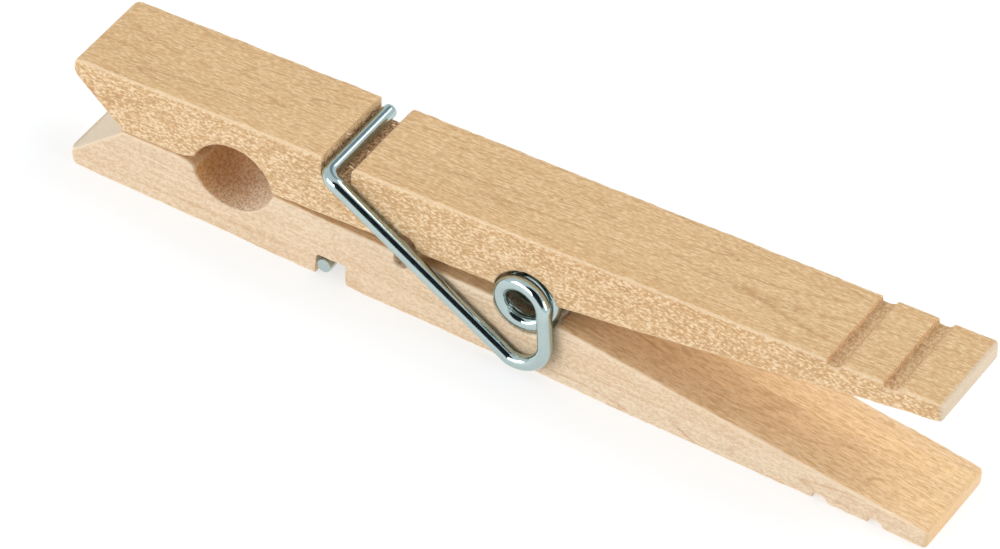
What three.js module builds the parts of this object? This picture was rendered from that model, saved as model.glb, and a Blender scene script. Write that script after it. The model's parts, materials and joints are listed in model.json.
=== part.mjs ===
// A sprung wooden clothespin: two milled wooden legs around one torsion spring of bent wire.
//
// Millimetres, +Z up. The lower leg lies on its outer face at z = 0, the jaws point to -X and the
// handles to +X. Both legs turn about the coil's axis, which runs along Y.
//
// Each leg is drawn in its own frame: x along the leg from the coil's axis, y from the axis up to
// the leg's outer face. The lower leg is the same drawing turned over.
import * as THREE from "three";

// Legs.
const legWidth = 9.85;
const outerHeight = 6.85; // outer face above the coil's axis
const noseX = -44.5; // jaw end of the leg
const handleX = 38.65; // handle end of the leg
const closedTilt = THREE.MathUtils.degToRad(1.43); // outer face against the middle plane
const edgeEase = 0.25; // softened long edges
const noseRadius = 1.05;
const handleEndThickness = 1.85;
const handleCornerRadius = 0.35;

// Jaw: a short upright nose, a slant, then the flat that grips.
const noseFootX = -44.25;
const noseFootHeight = 5.3;
const jawStartX = -39.35;
const jawEndX = -34.8;
const jawGap = 0.1; // between the two closed jaws
const innerHeight = 0.76; // inner face between the line groove and the coil

// Line groove: the round hole that the washing line sits in.
const lineGrooveX = -28.53;
const lineGrooveHeight = -0.27;
const lineGrooveRadius = 4.1;
const lineLipHeight = 1.38; // where the jaw's curl meets the groove
const lineLipCurl = 0.9;

// Small round notch between the line groove and the coil.
const smallNotchX = -11.75;
const upperSmallNotch = { halfWidth: 1.25, depth: 1.15 };
const lowerSmallNotch = { halfWidth: 0.85, depth: 1.35 };

// Wire spring.
const wireRadius = 0.675;
const coilRadius = 2.3; // to the middle of the wire
const coilTurns = 4;
const closePitch = 1.7; // of the turns near each end, which almost touch
const closeTurns = 1.1; // from each end, before the turns spread out
const rampTurns = 0.06; // over which the wire curls from the arm's plane into the coil
const sideClearance = 0.06; // between an arm and the side of a leg
const armY = legWidth / 2 + wireRadius + sideClearance;
const loopLean = 0.33; // how far the loop reaches past the coil
const frontLoopDrop = 3.0; // from the coil's axis to the middle of the loop's bend
const backLoopDrop = 2.25;
const hookBendRadius = 1.25;
const wireGap = 0.3; // between the coil's end and an arm's end
const wireSides = 12; // of the swept section

// Coil groove: the coil turns in it.
const coilGrooveRadius = coilRadius + wireRadius + 0.12;
const handleRootHeight = 0.9; // inner face beside the coil groove, on the handle side

// Spring notch across the outer face, which the hook lies in.
const springNotchX = -19.94; // its wall on the jaw side
const springNotchWidth = 3.0;
const springNotchDepth = 2.0;
const hookClearance = 0.2; // between the hook and the notch's wall on the jaw side
const hookX = springNotchX + wireRadius + hookClearance;
const hookHeight = outerHeight - springNotchDepth + wireRadius + sideClearance;

// Two shallow grip grooves across the handle.
const gripGrooveStarts = [27.88, 33.09];
const gripGrooveWidth = 1.5;
const gripGrooveDepth = 0.5;

const wood = { roughness: 0.62, metalness: 0 };
const upperWood = new THREE.MeshStandardMaterial({ name: "wood", color: 0xd9b384, ...wood });
const lowerWood = new THREE.MeshStandardMaterial({ name: "wood", color: 0xe4cba6, ...wood });
const wire = new THREE.MeshStandardMaterial({
  name: "wire",
  color: 0xc4cbc8,
  roughness: 0.2,
  metalness: 1,
});

// Height of the middle plane above the x axis of a leg's own frame.
function middlePlane(x) {
  return -x * Math.tan(closedTilt);
}

// Angle, seen from a circle's centre, of the point on it at this height.
function angleAtHeight(height, centreHeight, radius) {
  return Math.asin((height - centreHeight) / radius);
}

function addJaw(outline) {
  outline.moveTo(noseFootX, noseFootHeight);
  outline.lineTo(jawStartX, middlePlane(jawStartX) + jawGap / 2);
  outline.lineTo(jawEndX, middlePlane(jawEndX) + jawGap / 2);
}

function addLineGroove(outline) {
  const lipAngle = Math.PI - angleAtHeight(lineLipHeight, lineGrooveHeight, lineGrooveRadius);
  const innerEdge = innerHeight - jawGap;
  const innerAngle = angleAtHeight(innerEdge, lineGrooveHeight, lineGrooveRadius);
  const lipX = lineGrooveX + lineGrooveRadius * Math.cos(lipAngle);
  const lipY = lineGrooveHeight + lineGrooveRadius * Math.sin(lipAngle);
  outline.quadraticCurveTo(lipX - lineLipCurl, middlePlane(lipX), lipX, lipY);
  outline.absarc(lineGrooveX, lineGrooveHeight, lineGrooveRadius, lipAngle, innerAngle, true);
}

function addSmallNotch(outline, { halfWidth, depth }) {
  outline.absellipse(smallNotchX, innerHeight, halfWidth, depth, Math.PI, 0, true, 0);
}

function addCoilGroove(outline) {
  const startAngle = Math.PI - angleAtHeight(innerHeight, 0, coilGrooveRadius);
  const endAngle = angleAtHeight(handleRootHeight, 0, coilGrooveRadius);
  outline.absarc(0, 0, coilGrooveRadius, startAngle, endAngle, true);
}

function addHandle(outline) {
  const radius = handleCornerRadius;
  const innerCorner = outerHeight - handleEndThickness + radius;
  outline.absarc(handleX - radius, innerCorner, radius, -Math.PI / 2, 0, false);
  outline.absarc(handleX - radius, outerHeight - radius, radius, 0, Math.PI / 2, false);
}

// A grip groove has a steep wall towards the jaws and a rounded one towards the handle's end.
function addGripGroove(outline, startX) {
  const endX = startX + gripGrooveWidth;
  const floor = outerHeight - gripGrooveDepth;
  outline.lineTo(endX, outerHeight);
  outline.quadraticCurveTo(endX - 0.2, floor, endX - gripGrooveWidth / 2, floor);
  outline.lineTo(startX + 0.1, floor);
  outline.lineTo(startX, outerHeight);
}

function addSpringNotch(outline) {
  const endX = springNotchX + springNotchWidth;
  const floor = outerHeight - springNotchDepth;
  outline.lineTo(endX, outerHeight);
  outline.lineTo(endX, floor);
  outline.lineTo(springNotchX, floor);
  outline.lineTo(springNotchX, outerHeight);
}

function addNose(outline) {
  const centreX = noseX + noseRadius;
  outline.absarc(centreX, outerHeight - noseRadius, noseRadius, Math.PI / 2, Math.PI, false);
}

// Outline of a leg: along the inner face to the handle, and back along the outer face.
function legOutline(smallNotch) {
  const outline = new THREE.Shape();
  addJaw(outline);
  addLineGroove(outline);
  addSmallNotch(outline, smallNotch);
  addCoilGroove(outline);
  addHandle(outline);
  for (const startX of [...gripGrooveStarts].reverse()) {
    addGripGroove(outline, startX);
  }
  addSpringNotch(outline);
  addNose(outline);
  return outline;
}

function makeLeg(name, smallNotch, material) {
  const geometry = new THREE.ExtrudeGeometry(legOutline(smallNotch), {
    depth: legWidth - 2 * edgeEase,
    curveSegments: 8,
    bevelThickness: edgeEase,
    bevelSize: edgeEase,
    bevelOffset: -edgeEase,
    bevelSegments: 2,
  });
  geometry.translate(0, 0, edgeEase - legWidth / 2);
  geometry.rotateX(Math.PI / 2);
  const leg = new THREE.Mesh(geometry, material);
  leg.name = name;
  return leg;
}

// Circular arc from a start point, leaving along one unit direction and curling towards another.
class Bend extends THREE.Curve {
  constructor(start, direction, inward, radius, angle) {
    super();
    this.start = start;
    this.direction = direction;
    this.inward = inward;
    this.radius = radius;
    this.angle = angle;
  }

  getPoint(t) {
    const turned = t * this.angle;
    return this.start
      .clone()
      .addScaledVector(this.direction, this.radius * Math.sin(turned))
      .addScaledVector(this.inward, this.radius * (1 - Math.cos(turned)));
  }
}

// How far along the coil's axis the wire has moved, this many turns from the coil's end. It
// starts square to the axis, takes up the close pitch, then spreads out towards the middle.
function advance(turns) {
  const halfTurns = coilTurns / 2;
  const ramped = Math.min(turns, rampTurns);
  const close = closePitch * (turns - ramped + ramped ** 2 / (2 * rampTurns));
  const leftOver = armY - closePitch * (halfTurns - rampTurns / 2);
  const spread = Math.max(0, turns - closeTurns) / (halfTurns - closeTurns);
  return close + leftOver * spread ** 2;
}

class Coil extends THREE.Curve {
  getPoint(t) {
    const gapTurns = wireGap / (2 * Math.PI * coilRadius);
    const turns = gapTurns + t * (coilTurns - 2 * gapTurns);
    const fromNearEnd = turns < coilTurns / 2;
    const y = fromNearEnd ? advance(turns) - armY : armY - advance(coilTurns - turns);
    const angle = 2 * Math.PI * turns;
    return new THREE.Vector3(coilRadius * Math.cos(angle), y, coilRadius * Math.sin(angle));
  }
}

// The arm in front of the legs: down from the coil, round the loop, straight to the upper
// leg's notch, and across it as the hook. The back arm is the same, turned over.
function armPath(loopDrop) {
  const bendCentre = new THREE.Vector3(0, -armY, -loopDrop);
  const hook = new THREE.Vector3(hookX, -armY, hookHeight);
  hook.applyAxisAngle(new THREE.Vector3(0, 1, 0), -closedTilt);

  const toHook = hook.clone().sub(bendCentre);
  const loopRadius = coilRadius + loopLean;
  const slope = Math.atan2(toHook.z, -toHook.x) - Math.asin(loopRadius / toHook.length());
  const armDirection = new THREE.Vector3(-Math.cos(slope), 0, Math.sin(slope));
  const across = new THREE.Vector3(0, 1, 0);

  const start = new THREE.Vector3(coilRadius, -armY, 0);
  const loopStart = new THREE.Vector3(loopRadius, -armY, -loopDrop);
  const down = new THREE.Vector3(0, 0, -1);
  const towardsJaws = new THREE.Vector3(-1, 0, 0);
  const loop = new Bend(loopStart, down, towardsJaws, loopRadius, Math.PI / 2 + slope);
  const hookStart = hook.clone().addScaledVector(armDirection, -hookBendRadius);
  const hookBend = new Bend(hookStart, armDirection, across, hookBendRadius, Math.PI / 2);
  const hookEnd = hook.clone().setY(legWidth / 2);

  const path = new THREE.CurvePath();
  path.add(new THREE.LineCurve3(start, loopStart));
  path.add(loop);
  path.add(new THREE.LineCurve3(loop.getPoint(1), hookStart));
  path.add(hookBend);
  path.add(new THREE.LineCurve3(hookBend.getPoint(1), hookEnd));
  path.arcLengthDivisions = 800;
  return path;
}

function wireSection() {
  const section = new THREE.Shape();
  section.absarc(0, 0, wireRadius, 0, 2 * Math.PI, false);
  return section;
}

function sweepWire(name, path, steps) {
  const geometry = new THREE.ExtrudeGeometry(wireSection(), {
    steps,
    curveSegments: wireSides / 2,
    bevelEnabled: false,
    extrudePath: path,
  });
  const mesh = new THREE.Mesh(geometry, wire);
  mesh.name = name;
  return mesh;
}

function makeUpperLeg() {
  const leg = makeLeg("upper_leg", upperSmallNotch, upperWood);
  leg.rotation.y = -2 * closedTilt;
  return leg;
}

function makeLowerLeg() {
  const leg = makeLeg("lower_leg", lowerSmallNotch, lowerWood);
  leg.rotation.x = Math.PI;
  return leg;
}

function makeSpring() {
  const spring = new THREE.Group();
  const frontArm = sweepWire("spring_front_arm", armPath(frontLoopDrop), 110);
  const backArm = sweepWire("spring_back_arm", armPath(backLoopDrop), 110);
  backArm.rotation.x = Math.PI;
  spring.add(sweepWire("spring_coil", new Coil(), 24 * coilTurns), frontArm, backArm);
  spring.rotation.y = -closedTilt;
  return spring;
}

// Everything hangs from the coil's axis, then the whole is centred on its own width and length.
const clothespin = new THREE.Group();
clothespin.name = "clothespin";
clothespin.add(makeUpperLeg(), makeLowerLeg(), makeSpring());
clothespin.position.z = outerHeight;
const bounds = new THREE.Box3().setFromObject(clothespin);
clothespin.position.x = -(bounds.min.x + bounds.max.x) / 2;

export default clothespin;
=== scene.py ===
"""The looks of a wooden spring clothespin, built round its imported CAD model.

Shapes are drawn in millimetres in the same frames as the CAD: each leg in its own frame, with x
along the leg from the coil's axis and height above that axis, and the spring in the middle plane's
frame. They are turned into place about the coil's axis and scaled to metres at the end.
"""
import bisect
import json
import math

import bpy
from mathutils import Matrix, Vector, noise


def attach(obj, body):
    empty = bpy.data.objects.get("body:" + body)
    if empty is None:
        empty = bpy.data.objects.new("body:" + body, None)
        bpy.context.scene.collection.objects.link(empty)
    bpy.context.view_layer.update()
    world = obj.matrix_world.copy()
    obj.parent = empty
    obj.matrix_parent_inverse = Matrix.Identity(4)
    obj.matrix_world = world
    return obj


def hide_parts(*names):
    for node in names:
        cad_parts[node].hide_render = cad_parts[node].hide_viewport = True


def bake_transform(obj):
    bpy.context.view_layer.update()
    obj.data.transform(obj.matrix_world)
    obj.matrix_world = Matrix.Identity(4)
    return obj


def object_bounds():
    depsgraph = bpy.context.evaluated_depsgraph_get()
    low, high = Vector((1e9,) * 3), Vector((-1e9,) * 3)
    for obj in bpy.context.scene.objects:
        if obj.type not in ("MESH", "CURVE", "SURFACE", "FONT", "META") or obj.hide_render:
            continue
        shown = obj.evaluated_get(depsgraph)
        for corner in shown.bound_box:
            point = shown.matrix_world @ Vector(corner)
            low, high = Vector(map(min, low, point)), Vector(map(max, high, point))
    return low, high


MM = 0.001

# Legs, as in the CAD.
LEG_WIDTH = 9.85
OUTER_HEIGHT = 6.85
NOSE_X = -44.5
HANDLE_X = 38.65
CLOSED_TILT = math.radians(1.43)
NOSE_RADIUS = 1.05
HANDLE_END_THICKNESS = 1.85
HANDLE_CORNER_RADIUS = 0.35
NOSE_FOOT = (-44.25, 5.3)
JAW_START_X = -39.35
JAW_END_X = -34.8
JAW_GAP = 0.1
INNER_HEIGHT = 0.76
LINE_GROOVE_CENTRE = (-28.53, -0.27)
LINE_GROOVE_RADIUS = 4.1
LINE_LIP_HEIGHT = 1.38
LINE_LIP_CURL = 0.9
SMALL_NOTCH_X = -11.75
SMALL_NOTCH_RADII = {"upper_leg": (1.25, 1.15), "lower_leg": (0.85, 1.35)}
HANDLE_ROOT_HEIGHT = 0.9
SPRING_NOTCH_X = -19.94
SPRING_NOTCH_WIDTH = 3.0
SPRING_NOTCH_DEPTH = 2.0
HOOK_CLEARANCE = 0.2
GRIP_GROOVE_STARTS = (27.88, 33.09)
GRIP_GROOVE_WIDTH = 1.5
GRIP_GROOVE_DEPTH = 0.5

# Spring, as in the CAD.
WIRE_RADIUS = 0.675
COIL_RADIUS = 2.3
COIL_TURNS = 4
CLOSE_PITCH = 1.7
CLOSE_TURNS = 1.1
RAMP_TURNS = 0.06
SIDE_CLEARANCE = 0.06
ARM_Y = LEG_WIDTH / 2 + WIRE_RADIUS + SIDE_CLEARANCE
LOOP_LEAN = 0.33
LOOP_DROP = {"front": 3.0, "back": 2.25}
HOOK_BEND_RADIUS = 1.25
COIL_GROOVE_RADIUS = COIL_RADIUS + WIRE_RADIUS + 0.12

# Fineness of the meshes.
PROFILE_STEP = 0.3
SMALLEST_STEP = 0.015
WIDTH_POINTS = 11
SIDE_POINTS = 6
EASE_STEPS = 5
WIRE_STEP = 0.16
WIRE_SIDES = 32
LEG_CREASE = math.radians(38)
SPLINTER_CREASE = math.radians(60)
WIRE_CREASE = math.radians(40)

# How the milled wood departs from true: softened edges, dips and torn lips.
WALL_RUN = 0.05
EDGE_EASE = 0.3
EASE_UNEVENNESS = 0.45
QUICK_EASE_UNEVENNESS = 0.35
SMALLEST_EASE = 0.35
NOSE_SIDE_RADIUS = 0.7
HANDLE_SIDE_RADIUS = 0.4
FACE_DIP = 0.03
SAWN_DIP = 0.06
RAGGED_LIPS = (SPRING_NOTCH_X, SPRING_NOTCH_X + SPRING_NOTCH_WIDTH, *GRIP_GROOVE_STARTS,
               *(x + GRIP_GROOVE_WIDTH for x in GRIP_GROOVE_STARTS))
RAGGEDNESS = 0.07
RAGGED_REACH = 0.45
GRIP_GROOVE_SAWN = 0.4
LEG_SEEDS = {"upper_leg": 1, "lower_leg": 2}

# Torn fibres at the upper leg's spring notch, each from its root to its tip, as (x, y, height).
# A fibre is thickest at SPLINTER_BULGE of its length.
SPLINTERS = (
    ((-16.9, -4.45, 6.55), (-17.45, -4.5, 6.8)),
    ((-20.0, -0.9, 6.7), (-19.35, -0.75, 6.6)),
    ((-16.9, -1.9, 6.6), (-17.25, -1.75, 6.5)),
    ((-16.9, 2.3, 6.6), (-17.3, 2.1, 6.75)),
    ((-20.0, -3.1, 6.65), (-19.6, -3.15, 6.7)),
)
SPLINTER_RADIUS = 0.08
SPLINTER_BULGE = 0.4

# The share of its radius that each of a sheared wire's last rings keeps, from the very end back.
CUT_END_SHARES = (0.93, 0.99)

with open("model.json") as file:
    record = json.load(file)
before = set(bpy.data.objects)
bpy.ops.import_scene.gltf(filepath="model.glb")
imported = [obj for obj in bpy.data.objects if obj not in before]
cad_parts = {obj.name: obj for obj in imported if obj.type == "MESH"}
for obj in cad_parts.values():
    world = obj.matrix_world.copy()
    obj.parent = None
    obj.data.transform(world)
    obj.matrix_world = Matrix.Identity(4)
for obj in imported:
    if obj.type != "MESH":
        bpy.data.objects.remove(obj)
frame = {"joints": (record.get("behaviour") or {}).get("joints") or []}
cad_low, cad_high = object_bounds()
hinge = next(j for j in frame["joints"] if j["name"] == "jaw_hinge")
AXIS_PLACE = Vector(hinge["pos_m"])


# ---- Camera, floor and light ----

CAMERA_TARGET = Vector((-0.00195, 0.0, 0.0040))
CAMERA_DISTANCE = 0.665
CAMERA_AZIMUTH = math.radians(26.7)
CAMERA_ELEVATION = math.radians(41.07)
CAMERA_ROLL = math.radians(5.91)
CAMERA_LENS = 287.0

WORLD_COLOUR = (0.80, 0.85, 0.88, 1)
# Each gap: azimuth, elevation, the cosines between which it sets in, colour.
LIGHT_GAPS = (
    (22, 38, (0.82, 0.84), (0.015, 0.017, 0.02, 1)),
    (-163, 50, (0.93, 0.985), (0.28, 0.35, 0.38, 1)),
)
# Each softbox: name, azimuth, elevation, distance, size and power.
SOFTBOXES = (
    ("key", 138, 54, 1.0, (0.6, 0.45), 3.0),
    ("front", -30, 22, 0.9, (0.8, 0.4), 4.8),
    ("right", 88, 20, 0.9, (0.5, 0.35), 3.0),
)
FLOOR_HALF_SIZE = 1.5
FLOOR_GREY = 0.4
FLOOR_GLOW = 0.62

# A colour Mix node's sockets share their names, so they are picked by number.
MIX_FACTOR, MIX_A, MIX_B, MIX_RESULT = 0, 6, 7, 2


def direction_at(azimuth, elevation):
    """Unit vector from the object; azimuth 0 is -Y and 90 degrees is +X."""
    flat = math.cos(elevation)
    return Vector((math.sin(azimuth) * flat, -math.cos(azimuth) * flat, math.sin(elevation)))


def aimed_rotation(away, roll=0.0):
    """Rotation that looks back along `away`, then rolls about the line of sight."""
    return away.to_track_quat("Z", "Y").to_matrix().to_4x4() @ Matrix.Rotation(roll, 4, "Z")


def make_camera():
    away = direction_at(CAMERA_AZIMUTH, CAMERA_ELEVATION)
    data = bpy.data.cameras.new("camera")
    data.lens = CAMERA_LENS
    data.sensor_width = 36.0
    data.clip_start = 0.01
    data.dof.use_dof = False
    camera = bpy.data.objects.new("camera", data)
    place = Matrix.Translation(CAMERA_TARGET + away * CAMERA_DISTANCE)
    camera.matrix_world = place @ aimed_rotation(away, CAMERA_ROLL)
    bpy.context.scene.collection.objects.link(camera)
    bpy.context.scene.camera = camera


def make_softbox(name, azimuth, elevation, distance, size, power):
    away = direction_at(math.radians(azimuth), math.radians(elevation))
    data = bpy.data.lights.new(name, "AREA")
    data.shape = "RECTANGLE"
    data.size, data.size_y = size
    data.energy = power
    light = bpy.data.objects.new(name, data)
    light.matrix_world = Matrix.Translation(away * distance) @ aimed_rotation(away)
    bpy.context.scene.collection.objects.link(light)


def gap_colour(tree, place, azimuth, elevation, edges, colour):
    """The world's colour with one gap in it, round the given direction."""
    toward = tree.nodes.new("ShaderNodeVectorMath")
    toward.operation = "DOT_PRODUCT"
    toward.inputs[1].default_value = direction_at(math.radians(azimuth), math.radians(elevation))
    tree.links.new(place, toward.inputs[0])
    ramp = tree.nodes.new("ShaderNodeValToRGB")
    tree.links.new(toward.outputs["Value"], ramp.inputs["Fac"])
    outside, inside = ramp.color_ramp.elements
    outside.position, outside.color = edges[0], WORLD_COLOUR
    inside.position, inside.color = edges[1], colour
    return ramp.outputs["Color"]


def make_world():
    """Even pale light all round, with darker gaps in it that the bright wire mirrors."""
    world = bpy.data.worlds.new("studio")
    world.use_nodes = True
    tree = world.node_tree
    place = tree.nodes.new("ShaderNodeTexCoord").outputs["Generated"]
    gaps = [gap_colour(tree, place, *gap) for gap in LIGHT_GAPS]
    light = gaps[0]
    for gap in gaps[1:]:
        darker = tree.nodes.new("ShaderNodeMix")
        darker.data_type = "RGBA"
        darker.blend_type = "DARKEN"
        darker.inputs[MIX_FACTOR].default_value = 1.0
        tree.links.new(light, darker.inputs[MIX_A])
        tree.links.new(gap, darker.inputs[MIX_B])
        light = darker.outputs[MIX_RESULT]
    background = tree.nodes["Background"]
    tree.links.new(light, background.inputs["Color"])
    background.inputs["Strength"].default_value = 1.0
    bpy.context.scene.world = world


def make_floor():
    """A plain pale floor that glows a little, so that it renders white."""
    half = FLOOR_HALF_SIZE
    corners = [(-half, -half, 0), (half, -half, 0), (half, half, 0), (-half, half, 0)]
    mesh = bpy.data.meshes.new("floor")
    mesh.from_pydata(corners, [], [(0, 1, 2, 3)])
    floor = bpy.data.objects.new("floor", mesh)
    floor.location.z = cad_low[2]
    bpy.context.scene.collection.objects.link(floor)
    material = bpy.data.materials.new("floor")
    material.use_nodes = True
    shader = material.node_tree.nodes["Principled BSDF"]
    shader.inputs["Base Color"].default_value = (FLOOR_GREY, FLOOR_GREY, FLOOR_GREY, 1)
    shader.inputs["Emission Color"].default_value = (1, 1, 1, 1)
    shader.inputs["Emission Strength"].default_value = FLOOR_GLOW
    shader.inputs["Roughness"].default_value = 0.9
    shader.inputs["Specular IOR Level"].default_value = 0.1
    mesh.materials.append(material)


# ---- Profile of a leg ----

class Edge:
    """One long edge of a leg seen from the side, from the nose to the handle's end, as (x, height,
    sawn) points with x always rising. sawn is 1 where the wood was cut across its grain."""

    def __init__(self, x, height):
        self.points = [(x, height, 0.0)]

    def line_to(self, x, height, sawn=0.0):
        """Straight to this point, in steps of about PROFILE_STEP."""
        last_x, last_height, _ = self.points[-1]
        length = math.hypot(x - last_x, height - last_height)
        count = max(1, round(length / PROFILE_STEP))
        for i in range(1, count + 1):
            t = i / count
            place = (last_x + (x - last_x) * t, last_height + (height - last_height) * t)
            self.points.append((*place, sawn))

    def curve_to(self, control, end, sawn=0.0, count=6):
        """Quadratic curve to `end`, pulled towards `control`."""
        start = self.points[-1]
        for i in range(1, count + 1):
            t = i / count
            weights = ((1 - t) ** 2, 2 * t * (1 - t), t ** 2)
            x = sum(w * p[0] for w, p in zip(weights, (start, control, end)))
            height = sum(w * p[1] for w, p in zip(weights, (start, control, end)))
            self.points.append((x, height, sawn))

    def arc(self, centre, radii, start, end, sawn=0.0):
        """Arc of an ellipse from angle `start` to `end`, joined to the edge by a straight."""
        first_x = centre[0] + radii[0] * math.cos(start)
        first_height = centre[1] + radii[1] * math.sin(start)
        if math.hypot(first_x - self.points[-1][0], first_height - self.points[-1][1]) > 1e-6:
            self.line_to(first_x, first_height)
        count = max(6, round(abs(end - start) * max(radii) / PROFILE_STEP))
        for i in range(1, count + 1):
            angle = start + (end - start) * i / count
            x = centre[0] + radii[0] * math.cos(angle)
            self.points.append((x, centre[1] + radii[1] * math.sin(angle), sawn))

    def at(self, x):
        """(height, sawn) of the edge at this x."""
        i = bisect.bisect_left(self.xs, x)
        if i == 0:
            return self.points[0][1:]
        if i >= len(self.xs):
            return self.points[-1][1:]
        before, after = self.points[i - 1], self.points[i]
        t = (x - before[0]) / max(1e-9, after[0] - before[0])
        return tuple(b + (a - b) * t for b, a in zip(before[1:], after[1:]))

    def finish(self):
        self.xs = [p[0] for p in self.points]
        return self


def middle_plane(x):
    """Height of the middle plane above the x axis of a leg's own frame."""
    return -x * math.tan(CLOSED_TILT)


def add_line_groove(edge):
    """A lip that curls up from the jaw, then the round groove that holds the washing line."""
    centre_x, centre_height = LINE_GROOVE_CENTRE
    radius = LINE_GROOVE_RADIUS
    lip_angle = math.pi - math.asin((LINE_LIP_HEIGHT - centre_height) / radius)
    inner_angle = math.asin((INNER_HEIGHT - JAW_GAP - centre_height) / radius)
    lip_x = centre_x + radius * math.cos(lip_angle)
    edge.curve_to((lip_x - LINE_LIP_CURL, middle_plane(lip_x)), (lip_x, LINE_LIP_HEIGHT))
    edge.arc(LINE_GROOVE_CENTRE, (radius, radius), lip_angle, inner_angle, sawn=1.0)


def add_small_notch(edge, radii):
    """The half-round notch between the jaws and the coil."""
    edge.arc((SMALL_NOTCH_X, INNER_HEIGHT), radii, math.pi, 0, sawn=1.0)


def add_coil_groove(edge):
    """The round groove that the spring's coil lies in."""
    radius = COIL_GROOVE_RADIUS
    start = math.pi - math.asin(INNER_HEIGHT / radius)
    end = math.asin(HANDLE_ROOT_HEIGHT / radius)
    edge.arc((0, 0), (radius, radius), start, end, sawn=1.0)


def inner_edge(name):
    """The slant under the nose, the jaw, the grooves, and the taper of the handle."""
    foot_x, foot_height = NOSE_FOOT
    edge = Edge(NOSE_X, foot_height + WALL_RUN)
    edge.line_to(foot_x, foot_height)
    edge.line_to(JAW_START_X, middle_plane(JAW_START_X) + JAW_GAP / 2)
    edge.line_to(JAW_END_X, middle_plane(JAW_END_X) + JAW_GAP / 2)
    add_line_groove(edge)
    add_small_notch(edge, SMALL_NOTCH_RADII[name])
    add_coil_groove(edge)
    radius = HANDLE_CORNER_RADIUS
    corner = (HANDLE_X - radius, OUTER_HEIGHT - HANDLE_END_THICKNESS + radius)
    edge.arc(corner, (radius, radius), -math.pi / 2, 0)
    return edge.finish()


def add_grip_groove(edge, start_x):
    """A groove across the handle: a steep wall, a flat floor and a curve back up."""
    middle_x = start_x + GRIP_GROOVE_WIDTH / 2
    end_x = start_x + GRIP_GROOVE_WIDTH
    floor = OUTER_HEIGHT - GRIP_GROOVE_DEPTH
    edge.line_to(start_x, OUTER_HEIGHT)
    edge.line_to(start_x + 0.1, floor, sawn=GRIP_GROOVE_SAWN)
    edge.line_to(middle_x, floor, sawn=GRIP_GROOVE_SAWN)
    edge.curve_to((end_x - 0.2, floor), (end_x, OUTER_HEIGHT), sawn=GRIP_GROOVE_SAWN)


def add_spring_notch(edge):
    """The square notch that takes one hook of the spring."""
    end_x = SPRING_NOTCH_X + SPRING_NOTCH_WIDTH
    floor = OUTER_HEIGHT - SPRING_NOTCH_DEPTH
    edge.line_to(SPRING_NOTCH_X, OUTER_HEIGHT)
    edge.line_to(SPRING_NOTCH_X + WALL_RUN, floor, sawn=1.0)
    edge.line_to(end_x - WALL_RUN, floor, sawn=1.0)
    edge.line_to(end_x, OUTER_HEIGHT, sawn=1.0)


def outer_edge():
    """The rounded nose, then the flat outer face with its notch and grip grooves."""
    edge = Edge(NOSE_X, OUTER_HEIGHT - NOSE_RADIUS)
    centre = (NOSE_X + NOSE_RADIUS, OUTER_HEIGHT - NOSE_RADIUS)
    edge.arc(centre, (NOSE_RADIUS, NOSE_RADIUS), math.pi, math.pi / 2)
    add_spring_notch(edge)
    for start_x in GRIP_GROOVE_STARTS:
        add_grip_groove(edge, start_x)
    radius = HANDLE_CORNER_RADIUS
    corner = (HANDLE_X - radius, OUTER_HEIGHT - radius)
    edge.arc(corner, (radius, radius), math.pi / 2, 0)
    return edge.finish()


def section_places(inner, outer):
    """Every x at which a leg's cross section is drawn."""
    places = sorted(inner.xs + outer.xs)
    kept = [places[0]]
    for x in places[1:]:
        if x - kept[-1] > SMALLEST_STEP:
            kept.append(x)
    return kept


# ---- Mesh of a leg ----

def uneven(place, seed, scale):
    """Smooth noise from about -1 to 1, different for each seed."""
    return noise.noise(Vector(place) * scale + Vector((seed * 17.3, seed * 5.1, seed * 9.7)))


def edge_ease(x, y_side, outer_side, seed):
    """Radius of one softened long edge here: it wanders, as worn wood does."""
    place = (x, y_side * 40, outer_side * 40)
    slow = EASE_UNEVENNESS * uneven(place, seed, 0.3)
    quick = QUICK_EASE_UNEVENNESS * uneven(place, seed + 3, 1.7)
    return EDGE_EASE * max(SMALLEST_EASE, 1 + slow + quick)


def end_pull(x):
    """How far the side faces draw in near the leg's two ends, rounding their upright corners."""
    pull = 0.0
    for end_x, radius in ((NOSE_X, NOSE_SIDE_RADIUS), (HANDLE_X, HANDLE_SIDE_RADIUS)):
        inside = abs(x - end_x)
        if inside < radius:
            pull = max(pull, radius - math.sqrt(radius ** 2 - (radius - inside) ** 2))
    return pull


def dip(x, y, height, sawn, seed):
    """How far the milled surface lies below its true place. It never stands proud."""
    broad = 0.5 + 0.5 * uneven((x, y, height), seed, 0.12)
    fine = 0.5 + 0.5 * uneven((x * 0.4, y * 1.5, height), seed + 5, 1.4)
    rough = 0.5 + 0.5 * uneven((x, y * 0.3, height), seed + 7, 3.0)
    return FACE_DIP * (0.7 * broad + 0.3 * fine) + SAWN_DIP * sawn * rough


def corner_arc(y_side, height_side, half, height, ease, inward):
    """A softened corner of a cross section, from the flat face round to the side face."""
    centre_y = y_side * (half - ease)
    centre_height = height - height_side * ease
    points = []
    for i in range(EASE_STEPS + 1):
        angle = math.pi / 2 * i / EASE_STEPS
        if inward:
            angle = math.pi / 2 - angle
        y = centre_y + y_side * ease * math.sin(angle)
        points.append((y, centre_height + height_side * ease * math.cos(angle)))
    return points


def spread(start, end, count):
    """The points strictly between two, evenly spaced."""
    steps = [i / (count + 1) for i in range(1, count + 1)]
    return [tuple(a + (b - a) * t for a, b in zip(start, end)) for t in steps]


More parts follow.
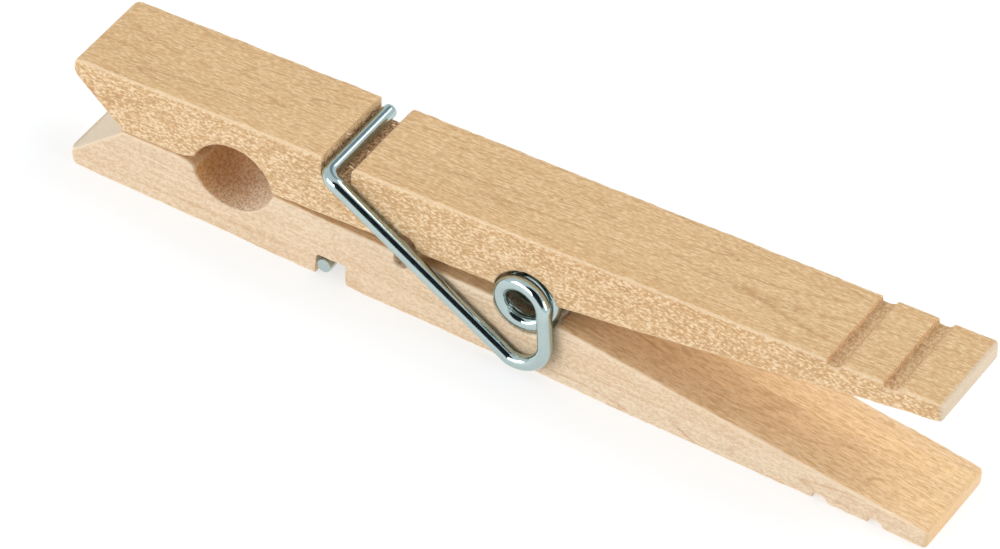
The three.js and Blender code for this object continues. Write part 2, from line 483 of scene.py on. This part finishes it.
def leg_section(x, inner, outer, seed):
    """Ring of (y, height, side, edge, sawn) round one cross section; edge is the mask of the painted
    highlight on the softened long edges.
    """
    low, low_sawn = inner.at(x)
    high, high_sawn = outer.at(x)
    half = LEG_WIDTH / 2 - end_pull(x)
    most = 0.45 * (high - low)
    eases = {(ys, hs): min(most, edge_ease(x, ys, hs, seed)) for ys in (-1, 1) for hs in (-1, 1)}
    corners = (corner_arc(-1, -1, half, low, eases[-1, -1], True),
               corner_arc(1, -1, half, low, eases[1, -1], False),
               corner_arc(1, 1, half, high, eases[1, 1], True),
               corner_arc(-1, 1, half, high, eases[-1, 1], False))
    kinds = (("face", WIDTH_POINTS, low_sawn), ("side", SIDE_POINTS, 0.0),
             ("face", WIDTH_POINTS, high_sawn), ("side", SIDE_POINTS, 0.0))
    ring = []
    for k, (kind, count, sawn) in enumerate(kinds):
        corner, following = corners[k], corners[(k + 1) % 4]
        corner_sawn = low_sawn if k < 2 else high_sawn
        for i, (y, height) in enumerate(corner):
            across = i / EASE_STEPS
            side = 1 - across if k % 2 == 0 else across
            # Painted highlight: this mask peaks midway round each softened corner, where the material
            # paints the wood paler.
            edge_highlight = math.sin(math.pi * across)
            ring.append((y, height, side, edge_highlight, corner_sawn * (1 - side)))
        for y, height in spread(corner[-1], following[0], count):
            ring.append((y, height, float(kind == "side"), 0.0, sawn))
    return ring


def ragged(x, y, seed):
    """How far the saw's tearing moves the wood lengthways beside the lips of the sawn grooves."""
    nearest = min(abs(x - lip) for lip in RAGGED_LIPS)
    near = max(0.0, 1 - nearest / RAGGED_REACH)
    return RAGGEDNESS * near * uneven((x * 0.3, y * 3.0, 0), seed + 11, 1.0)


def dipped(x, point, low, high, seed):
    """A ring point moved a little into the wood."""
    y, height, side, edge_highlight, sawn = point
    x += ragged(x, y, seed)
    depth = dip(x, y, height, sawn, seed)
    towards = 1 if height < (low + high) / 2 else -1
    flat = 1 - side
    return (x, y * (1 - side * depth / LEG_WIDTH * 2), height + towards * depth * flat)


def ring_faces(ring_count, size):
    """Quads between rings of vertices that follow each other, and a face over each end."""
    faces = []
    for r in range(ring_count - 1):
        for i in range(size):
            j = (i + 1) % size
            low, high = r * size, (r + 1) * size
            faces.append((low + i, high + i, high + j, low + j))
    first_cap = tuple(range(size))
    last_cap = tuple((ring_count - 1) * size + i for i in reversed(range(size)))
    return faces + [first_cap, last_cap]


def add_attribute(mesh, name, kind, values):
    """Stores one number, or one vector, for each vertex, for the materials to read."""
    attribute = mesh.attributes.new(name, kind, "POINT")
    field = "vector" if kind == "FLOAT_VECTOR" else "value"
    attribute.data.foreach_set(field, values)


def new_piece(name, vertices, faces, material, crease):
    """A smooth-shaded object whose edges stay sharp where they bend more than `crease`."""
    mesh = bpy.data.meshes.new(name)
    mesh.from_pydata(vertices, [], faces)
    mesh.shade_smooth()
    mesh.set_sharp_from_angle(angle=crease)
    mesh.materials.append(material)
    piece = bpy.data.objects.new(name, mesh)
    bpy.context.scene.collection.objects.link(piece)
    return piece


def make_leg(name, place, material):
    """A leg lofted from cross sections, with what its material needs to know at each vertex."""
    seed = LEG_SEEDS[name]
    inner, outer = inner_edge(name), outer_edge()
    local, masks = [], []
    places = section_places(inner, outer)
    for x in places:
        ring = leg_section(x, inner, outer, seed)
        low, high = inner.at(x)[0], outer.at(x)[0]
        local.extend(dipped(x, point, low, high, seed) for point in ring)
        masks.extend(point[2:] for point in ring)
    vertices = [place @ (Vector(v) * MM) for v in local]
    faces = ring_faces(len(places), len(local) // len(places))
    leg = new_piece(name + "_wood", vertices, faces, material, LEG_CREASE)
    add_attribute(leg.data, "grain", "FLOAT_VECTOR", [c for v in local for c in v])
    # The edge mask is where the material paints a highlight along the softened long edges.
    for k, mask in enumerate(("side", "edge", "sawn")):
        add_attribute(leg.data, mask, "FLOAT", [m[k] for m in masks])
    return leg


def make_splinters(place, material):
    """Pale torn fibres that stick out at the lips of the upper leg's spring notch, also paled all
    over by the painted edge highlight.
    """
    vertices, faces = [], []
    for root, tip in SPLINTERS:
        root, tip = Vector(root), Vector(tip)
        along = (tip - root).normalized()
        across = along.cross(Vector((0, 0, 1))).normalized() * SPLINTER_RADIUS
        upward = along.cross(across)
        middle = root.lerp(tip, SPLINTER_BULGE)
        first = len(vertices)
        corners = (root, middle + across, middle + upward, middle - across, middle - upward, tip)
        vertices.extend(place @ (v * MM) for v in corners)
        for k in range(4):
            here, following = first + 1 + k, first + 1 + (k + 1) % 4
            faces.extend(((first, following, here), (first + 5, here, following)))
    splinters = new_piece("upper_leg_splinters", vertices, faces, material, SPLINTER_CREASE)
    # The full edge mask gives every splinter the painted edge highlight on top of its pale torn-fibre
    # colour.
    add_attribute(splinters.data, "edge", "FLOAT", [1.0] * len(vertices))
    return splinters


# ---- Spring ----

def advance(turns):
    """How far along the coil's axis the wire has moved, this many turns from the coil's end."""
    half_turns = COIL_TURNS / 2
    ramped = min(turns, RAMP_TURNS)
    close = CLOSE_PITCH * (turns - ramped + ramped ** 2 / (2 * RAMP_TURNS))
    left_over = ARM_Y - CLOSE_PITCH * (half_turns - RAMP_TURNS / 2)
    opened = max(0.0, turns - CLOSE_TURNS) / (half_turns - CLOSE_TURNS)
    return close + left_over * opened ** 2


def coil_path():
    """A helix along the width: close turns at both sides, spread ones in the middle."""
    length = 2 * math.pi * COIL_RADIUS * COIL_TURNS
    count = round(length / WIRE_STEP)
    path = []
    for i in range(count + 1):
        turns = COIL_TURNS * i / count
        near = turns < COIL_TURNS / 2
        y = advance(turns) - ARM_Y if near else ARM_Y - advance(COIL_TURNS - turns)
        angle = 2 * math.pi * turns
        path.append(Vector((COIL_RADIUS * math.cos(angle), y, COIL_RADIUS * math.sin(angle))))
    return path


def add_straight(path, end):
    """Evenly spaced points from the path's last one to `end`."""
    start = path[-1]
    count = max(1, round((end - start).length / WIRE_STEP))
    path.extend(start.lerp(end, i / count) for i in range(1, count + 1))


def add_bend(path, direction, inward, radius, angle):
    """Arc that leaves along one unit direction and curls towards another."""
    start = path[-1]
    count = max(4, round(radius * angle / WIRE_STEP))
    for i in range(1, count + 1):
        turned = angle * i / count
        along = direction * (radius * math.sin(turned))
        path.append(start + along + inward * (radius * (1 - math.cos(turned))))


def arm_path(loop_drop):
    """Down from the coil, round the loop, straight to the upper notch, and across as the hook."""
    hook_x = SPRING_NOTCH_X + WIRE_RADIUS + HOOK_CLEARANCE
    hook_height = OUTER_HEIGHT - SPRING_NOTCH_DEPTH + WIRE_RADIUS + SIDE_CLEARANCE
    hook = Matrix.Rotation(-CLOSED_TILT, 3, "Y") @ Vector((hook_x, -ARM_Y, hook_height))
    bend_centre = Vector((0, -ARM_Y, -loop_drop))
    to_hook = hook - bend_centre
    loop_radius = COIL_RADIUS + LOOP_LEAN
    slope = math.atan2(to_hook.z, -to_hook.x) - math.asin(loop_radius / to_hook.length)
    arm_direction = Vector((-math.cos(slope), 0, math.sin(slope)))

    path = [Vector((COIL_RADIUS, -ARM_Y, 0))]
    add_straight(path, Vector((loop_radius, -ARM_Y, -loop_drop)))
    add_bend(path, Vector((0, 0, -1)), Vector((-1, 0, 0)), loop_radius, math.pi / 2 + slope)
    add_straight(path, hook - arm_direction * HOOK_BEND_RADIUS)
    add_bend(path, arm_direction, Vector((0, 1, 0)), HOOK_BEND_RADIUS, math.pi / 2)
    add_straight(path, Vector((hook.x, LEG_WIDTH / 2, hook.z)))
    return path


def wire_rings(path):
    """Circles of vertices along the path, carried along it without twisting."""
    rings = []
    across = Vector((0, 1, 0))
    for i, centre in enumerate(path):
        before = path[max(0, i - 1)]
        after = path[min(len(path) - 1, i + 1)]
        tangent = (after - before).normalized()
        across = (across - tangent * across.dot(tangent)).normalized()
        other = tangent.cross(across)
        ring = []
        for k in range(WIRE_SIDES):
            angle = 2 * math.pi * k / WIRE_SIDES
            ring.append(centre + (across * math.cos(angle) + other * math.sin(angle)) * WIRE_RADIUS)
        rings.append(ring)
    return rings


def round_cut_end(rings, path):
    """The last stretch closes in a little, as a sheared wire's end does."""
    for steps_back, share in enumerate(CUT_END_SHARES):
        centre = path[-1 - steps_back]
        rings[-1 - steps_back] = [centre.lerp(v, share) for v in rings[-1 - steps_back]]


def make_wire(name, path, place, material, cut_end=False):
    """A wire of even thickness swept along the path."""
    rings = wire_rings(path)
    if cut_end:
        round_cut_end(rings, path)
    local = [v for ring in rings for v in ring]
    vertices = [place @ (v * MM) for v in local]
    faces = ring_faces(len(rings), WIRE_SIDES)
    return new_piece(name, vertices, faces, material, WIRE_CREASE)


# ---- Materials ----

class Nodes:
    """Short names for building a material's node tree."""

    def __init__(self, name):
        self.material = bpy.data.materials.new(name)
        self.material.use_nodes = True
        self.tree = self.material.node_tree
        self.shader = self.tree.nodes["Principled BSDF"]

    def add(self, kind, settings=None, **inputs):
        """A new node with its settings and its named inputs; _ stands for a space in a name."""
        node = self.tree.nodes.new(kind)
        for key, value in (settings or {}).items():
            setattr(node, key, value)
        for key, value in inputs.items():
            self.set(node, key.replace("_", " "), value)
        return node

    def set(self, node, key, value):
        """Links or sets one input, picked by its name or its number."""
        socket = node.inputs[key]
        if isinstance(value, bpy.types.NodeSocket):
            self.tree.links.new(value, socket)
        else:
            socket.default_value = value

    def attribute(self, name, output="Fac"):
        """What the mesh stores at each vertex under this name."""
        return self.add("ShaderNodeAttribute", {"attribute_name": name}).outputs[output]

    def stretched(self, vector, scale):
        node = self.add("ShaderNodeMapping", Vector=vector, Scale=scale)
        return node.outputs["Vector"]

    def noise(self, vector, scale, detail=3.0, roughness=0.5, distortion=0.0):
        node = self.add("ShaderNodeTexNoise", Vector=vector, Scale=scale, Detail=detail,
                        Roughness=roughness, Distortion=distortion)
        return node.outputs["Fac"]

    def ramp(self, factor, *stops):
        """Grey ramp: each stop is (position, value)."""
        node = self.add("ShaderNodeValToRGB", Fac=factor)
        elements = node.color_ramp.elements
        while len(elements) < len(stops):
            elements.new(0.5)
        for element, (position, value) in zip(elements, stops):
            element.position = position
            element.color = (value, value, value, 1)
        return node.outputs["Color"]

    def rising(self, value, start, end):
        """0 where the value is at `start`, 1 where it is at `end`, and between them a slope."""
        node = self.add("ShaderNodeMapRange", Value=value, From_Min=start, From_Max=end)
        return node.outputs[0]

    def mix(self, factor, a, b, blend="MIX"):
        node = self.add("ShaderNodeMix", {"data_type": "RGBA", "blend_type": blend})
        for index, value in ((MIX_FACTOR, factor), (MIX_A, a), (MIX_B, b)):
            self.set(node, index, value)
        return node.outputs[MIX_RESULT]

    def math(self, operation, a, b=0.0, c=0.0):
        node = self.add("ShaderNodeMath", {"operation": operation})
        for index, value in enumerate((a, b, c)):
            self.set(node, index, value)
        return node.outputs[0]

    def bump(self, height, strength, distance, normal=None):
        node = self.add("ShaderNodeBump", Height=height, Strength=strength, Distance=distance)
        if normal is not None:
            self.set(node, "Normal", normal)
        return node.outputs["Normal"]


def rgb(red, green, blue):
    """sRGB 0-255 to the linear colour that a shader takes."""
    def linear(value):
        value /= 255
        return value / 12.92 if value <= 0.04045 else ((value + 0.055) / 1.055) ** 2.4
    return (linear(red), linear(green), linear(blue), 1)


# How the patterns in the wood are stretched: cycles per millimetre along a leg, across it and
# through it.
BAND_SCALE = (0.012, 0.3, 0.22)
STREAK_SCALE = (0.07, 2.6, 2.6)
GROWTH_SCALE = (0.014, 0.22, 0.26)
GROWTH_BREAK_SCALE = (0.2, 0.5, 0.5)
SIDE_FLECK_SCALE = (3.2, 6.2, 6.2)
FACE_FLECK_SCALE = (1.9, 7.0, 7.0)
FIBRE_SCALE = (0.65, 6.0, 6.0)
CRUMB_SCALE = (5.0, 3.2, 5.0)
PORE_SCALE = (0.3, 0.6, 0.6)
GROWTH_LINE_COUNT = 13.0
PORE_RARITY = 0.72

# Where end grain shows, with its painted light and shade: the slant under the nose, by x and height,
# and the handle's end, by x.
SLANT_X = (JAW_START_X - 0.2, JAW_START_X - 0.6)
SLANT_HEIGHT = (6.0, 5.4)
HANDLE_END_X = (HANDLE_X - 0.45, HANDLE_X - 0.1)

# Painted shade: where the jaw side of the line groove is painted browner, and by what colour.
LINE_GROOVE_SHADE_X = (-27.0, -32.0)
LINE_GROOVE_SHADE_TINT = rgb(226, 190, 140)

# Colours, then how strongly each pattern shows.
UPPER_WOOD = {
    "face": rgb(215, 180, 134),
    "side": rgb(212, 180, 139),
    "band": rgb(206, 164, 115),
    "streak": rgb(174, 130, 85),
    "light": rgb(238, 214, 180),
    "fleck": rgb(180, 138, 92),
    "pore": rgb(130, 90, 52),
    "cut_dark": rgb(146, 98, 60),
    "cut_light": rgb(228, 192, 150),
    "nose_end": rgb(214, 202, 184),
    "handle_end": rgb(200, 187, 168),
    "face_flecks": 0.42,
    "side_flecks": 0.74,
    "fibres": 0.58,
    "lines": 0.7,
}
LOWER_WOOD = {
    "face": rgb(241, 206, 156),
    "side": rgb(221, 202, 177),
    "band": rgb(219, 188, 151),
    "streak": rgb(186, 144, 100),
    "light": rgb(240, 222, 198),
    "fleck": rgb(188, 144, 98),
    "pore": rgb(150, 110, 72),
    # Partly painted light: the lower leg's sawn colours are set pale so that its shaded grooves, the
    # line groove above all, read bright.
    "cut_dark": rgb(226, 190, 152),
    "cut_light": rgb(255, 240, 218),
    "nose_end": rgb(214, 202, 184),
    "handle_end": rgb(208, 172, 128),
    "face_flecks": 0.25,
    "side_flecks": 0.3,
    "fibres": 0.6,
    "lines": 0.55,
}


def make_wood(name, wood):
    """Birch: fine grain along the faces, short flecks on the sides, brown where sawn across, with
    painted shade in the line groove and painted highlights along the edges.
    """
    n = Nodes(name)
    grain = n.attribute("grain", "Vector")
    side_mask = n.attribute("side")
    face_mask = n.math("SUBTRACT", 1.0, side_mask)
    sawn_mask = n.attribute("sawn")
    flecks = n.noise(n.stretched(grain, SIDE_FLECK_SCALE), 1.0, 1.0, 0.5, 0.3)
    fine_flecks = n.noise(n.stretched(grain, FACE_FLECK_SCALE), 1.0, 1.0, 0.5, 0.3)
    fibres = n.noise(n.stretched(grain, FIBRE_SCALE), 1.0, 2.0, 0.6, 0.15)
    crumbs = n.noise(n.stretched(grain, CRUMB_SCALE), 1.0, 2.0, 0.6)

    base = n.mix(side_mask, wood["face"], wood["side"])
    base = add_grain(n, base, grain, wood)
    base = add_growth_lines(n, base, grain, wood)
    face_flecks = n.math("MULTIPLY", face_mask, wood["face_flecks"])
    side_flecks = n.math("MULTIPLY", side_mask, wood["side_flecks"])
    base = add_spots(n, base, flecks, side_flecks, wood)
    base = add_spots(n, base, fine_flecks, face_flecks, wood)
    thin_fibres = n.math("MULTIPLY", n.ramp(fibres, (0.51, 0.0), (0.6, 0.8)), face_mask)
    base = n.mix(n.math("MULTIPLY", thin_fibres, wood["fibres"]), base, wood["fleck"])
    base = add_pores(n, base, grain, wood["pore"])
    # Painted highlight: the softened edges and the splinters are painted paler, standing in for the
    # bright line that light draws along them.
    base = n.mix(n.math("MULTIPLY", n.attribute("edge"), 0.5), base, wood["light"])
    base = add_ends(n, base, grain, face_mask, wood)
    sawn = add_sawn_colour(n, grain, crumbs, wood)
    base = n.mix(n.math("MULTIPLY", sawn_mask, 0.9), base, sawn)
    n.set(n.shader, "Base Color", base)

    n.set(n.shader, "Roughness", 0.65)
    n.set(n.shader, "Specular IOR Level", 0.25)
    fine = n.bump(fibres, 0.3, 0.00004)
    flecked = n.bump(n.math("MULTIPLY", flecks, side_flecks), 0.35, 0.00007, fine)
    rough = n.bump(n.math("MULTIPLY", crumbs, sawn_mask), 0.8, 0.00018, flecked)
    n.set(n.shader, "Normal", rough)
    return n.material


def add_ends(n, base, grain, face_mask, wood):
    """The nose's slant and the handle's end show end grain, which is paler and greyer, with painted
    light and shade matched to how light falls on them.
    """
    place = n.add("ShaderNodeSeparateXYZ", Vector=grain)
    x, height = place.outputs["X"], place.outputs["Z"]
    # Painted shade as well as end grain: the slant takes the cool grey of the shade on it.
    slant = n.math("MULTIPLY", n.rising(x, *SLANT_X), n.rising(height, *SLANT_HEIGHT))
    slant = n.math("MULTIPLY", slant, face_mask)
    base = n.mix(n.math("MULTIPLY", slant, 0.75), base, wood["nose_end"])
    # Painted light and shade as well as end grain: the handle's end takes the tone that the light
    # there gives it.
    handle = n.rising(x, *HANDLE_END_X)
    return n.mix(n.math("MULTIPLY", handle, 0.7), base, wood["handle_end"])


def add_sawn_colour(n, grain, crumbs, wood):
    """Crumbly cut wood, with painted shade that browns the jaw side of the line groove."""
    sawn = n.mix(n.ramp(crumbs, (0.4, 0.0), (0.6, 1.0)), wood["cut_dark"], wood["cut_light"])
    x = n.add("ShaderNodeSeparateXYZ", Vector=grain).outputs["X"]
    # Painted shade: the sawn wood browns towards the jaw side of the line groove, where the hole lies
    # in shade.
    shaded = n.mix(1.0, sawn, LINE_GROOVE_SHADE_TINT, "MULTIPLY")
    return n.mix(n.rising(x, *LINE_GROOVE_SHADE_X), sawn, shaded)


def add_grain(n, base, grain, wood):
    """Broad soft bands, then long streaks, all along the leg."""
    bands = n.noise(n.stretched(grain, BAND_SCALE), 1.0, 2.0)
    streaks = n.noise(n.stretched(grain, STREAK_SCALE), 1.0, 3.0, 0.6, 0.1)
    base = n.mix(n.ramp(bands, (0.38, 0.0), (0.66, 0.5)), base, wood["band"])
    return n.mix(n.ramp(streaks, (0.42, 0.0), (0.7, 0.3)), base, wood["streak"])


def add_growth_lines(n, base, grain, wood):
    """Thin wavy lines: the contours of a slow noise stretched along the leg."""
    slow = n.noise(n.stretched(grain, GROWTH_SCALE), 1.0, 1.0, 0.4, 0.2)
    level = n.math("FRACT", n.math("MULTIPLY", slow, GROWTH_LINE_COUNT))
    away = n.math("ABSOLUTE", n.math("SUBTRACT", level, 0.5))
    lines = n.ramp(away, (0.0, 1.0), (0.1, 0.0))
    breaks = n.noise(n.stretched(grain, GROWTH_BREAK_SCALE), 1.0, 2.0)
    broken = n.ramp(breaks, (0.4, 0.1), (0.6, 1.0))
    amount = n.math("MULTIPLY", n.math("MULTIPLY", lines, broken), wood["lines"])
    return n.mix(amount, base, wood["streak"])


def add_spots(n, base, pattern, mask, wood):
    """The high parts of a noise darken the wood and its low parts lighten it."""
    dark = n.math("MULTIPLY", n.ramp(pattern, (0.5, 0.0), (0.64, 0.9)), mask)
    light = n.math("MULTIPLY", n.ramp(pattern, (0.35, 0.9), (0.48, 0.0)), mask)
    return n.mix(light, n.mix(dark, base, wood["fleck"]), wood["light"])


def add_pores(n, base, grain, colour):
    """Sparse tiny dark pores: the middles of a few of the cells of a Voronoi pattern."""
    cells = n.add("ShaderNodeTexVoronoi", Vector=n.stretched(grain, PORE_SCALE), Scale=1.0)
    spot = n.ramp(cells.outputs["Distance"], (0.03, 1.0), (0.055, 0.0))
    chance = n.add("ShaderNodeSeparateColor", Color=cells.outputs["Color"]).outputs["Red"]
    chosen = n.math("GREATER_THAN", chance, PORE_RARITY)
    return n.mix(n.math("MULTIPLY", n.math("MULTIPLY", spot, chosen), 0.7), base, colour)


def make_wire_material():
    """Bright plated drawn wire: nearly a mirror, with a fine ripple and a few pits."""
    n = Nodes("spring_wire")
    place = n.add("ShaderNodeTexCoord").outputs["Object"]
    tint = n.noise(place, 700.0, 3.0)
    n.set(n.shader, "Base Color", n.mix(tint, rgb(172, 190, 190), rgb(192, 207, 205)))
    n.set(n.shader, "Metallic", 1.0)
    smudge = n.noise(place, 1300.0, 3.0, 0.6)
    n.set(n.shader, "Roughness", n.ramp(smudge, (0.3, 0.08), (0.75, 0.2)))
    pits = n.noise(place, 4200.0, 2.0, 0.6)
    pitted = n.bump(n.ramp(pits, (0.27, 0.0), (0.34, 1.0)), 0.1, 0.00003)
    ripple = n.bump(n.noise(place, 1500.0, 2.0), 0.07, 0.00005, pitted)
    n.set(n.shader, "Normal", ripple)
    return n.material


# ---- The clothespin ----

def placed(rotation):
    """Turns a frame about the coil's axis and moves it there."""
    return Matrix.Translation(AXIS_PLACE) @ rotation


def make_legs():
    upper_wood = make_wood("upper_wood", UPPER_WOOD)
    lower_wood = make_wood("lower_wood", LOWER_WOOD)
    upper_place = placed(Matrix.Rotation(-2 * CLOSED_TILT, 4, "Y"))
    upper = make_leg("upper_leg", upper_place, upper_wood)
    lower = make_leg("lower_leg", placed(Matrix.Rotation(math.pi, 4, "X")), lower_wood)
    splinters = make_splinters(upper_place, upper_wood)
    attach(splinters, "upper_leg")
    for leg, node, slot in ((upper, "upper_leg", "upper_wood"), (lower, "lower_leg", "lower_wood")):
        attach(leg, node)
        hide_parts(node)


def make_arm(side, place, material):
    path = arm_path(LOOP_DROP[side])
    return make_wire("spring_" + side + "_arm_wire", path, place, material, cut_end=True)


def make_spring():
    material = make_wire_material()
    tilt = Matrix.Rotation(-CLOSED_TILT, 4, "Y")
    turned_over = tilt @ Matrix.Rotation(math.pi, 4, "X")
    coil = make_wire("spring_coil_wire", coil_path(), placed(tilt), material)
    front = make_arm("front", placed(tilt), material)
    back = make_arm("back", placed(turned_over), material)
    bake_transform(coil)
    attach(front, "upper_leg")
    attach(back, "lower_leg")
    for wire, node in ((coil, "spring_coil"), (front, "spring_front_arm"), (back, "spring_back_arm")):
        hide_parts(node)


bpy.context.scene.view_settings.view_transform = "Standard"
make_camera()
make_world()
for softbox in SOFTBOXES:
    make_softbox(*softbox)
make_floor()
make_legs()
make_spring()
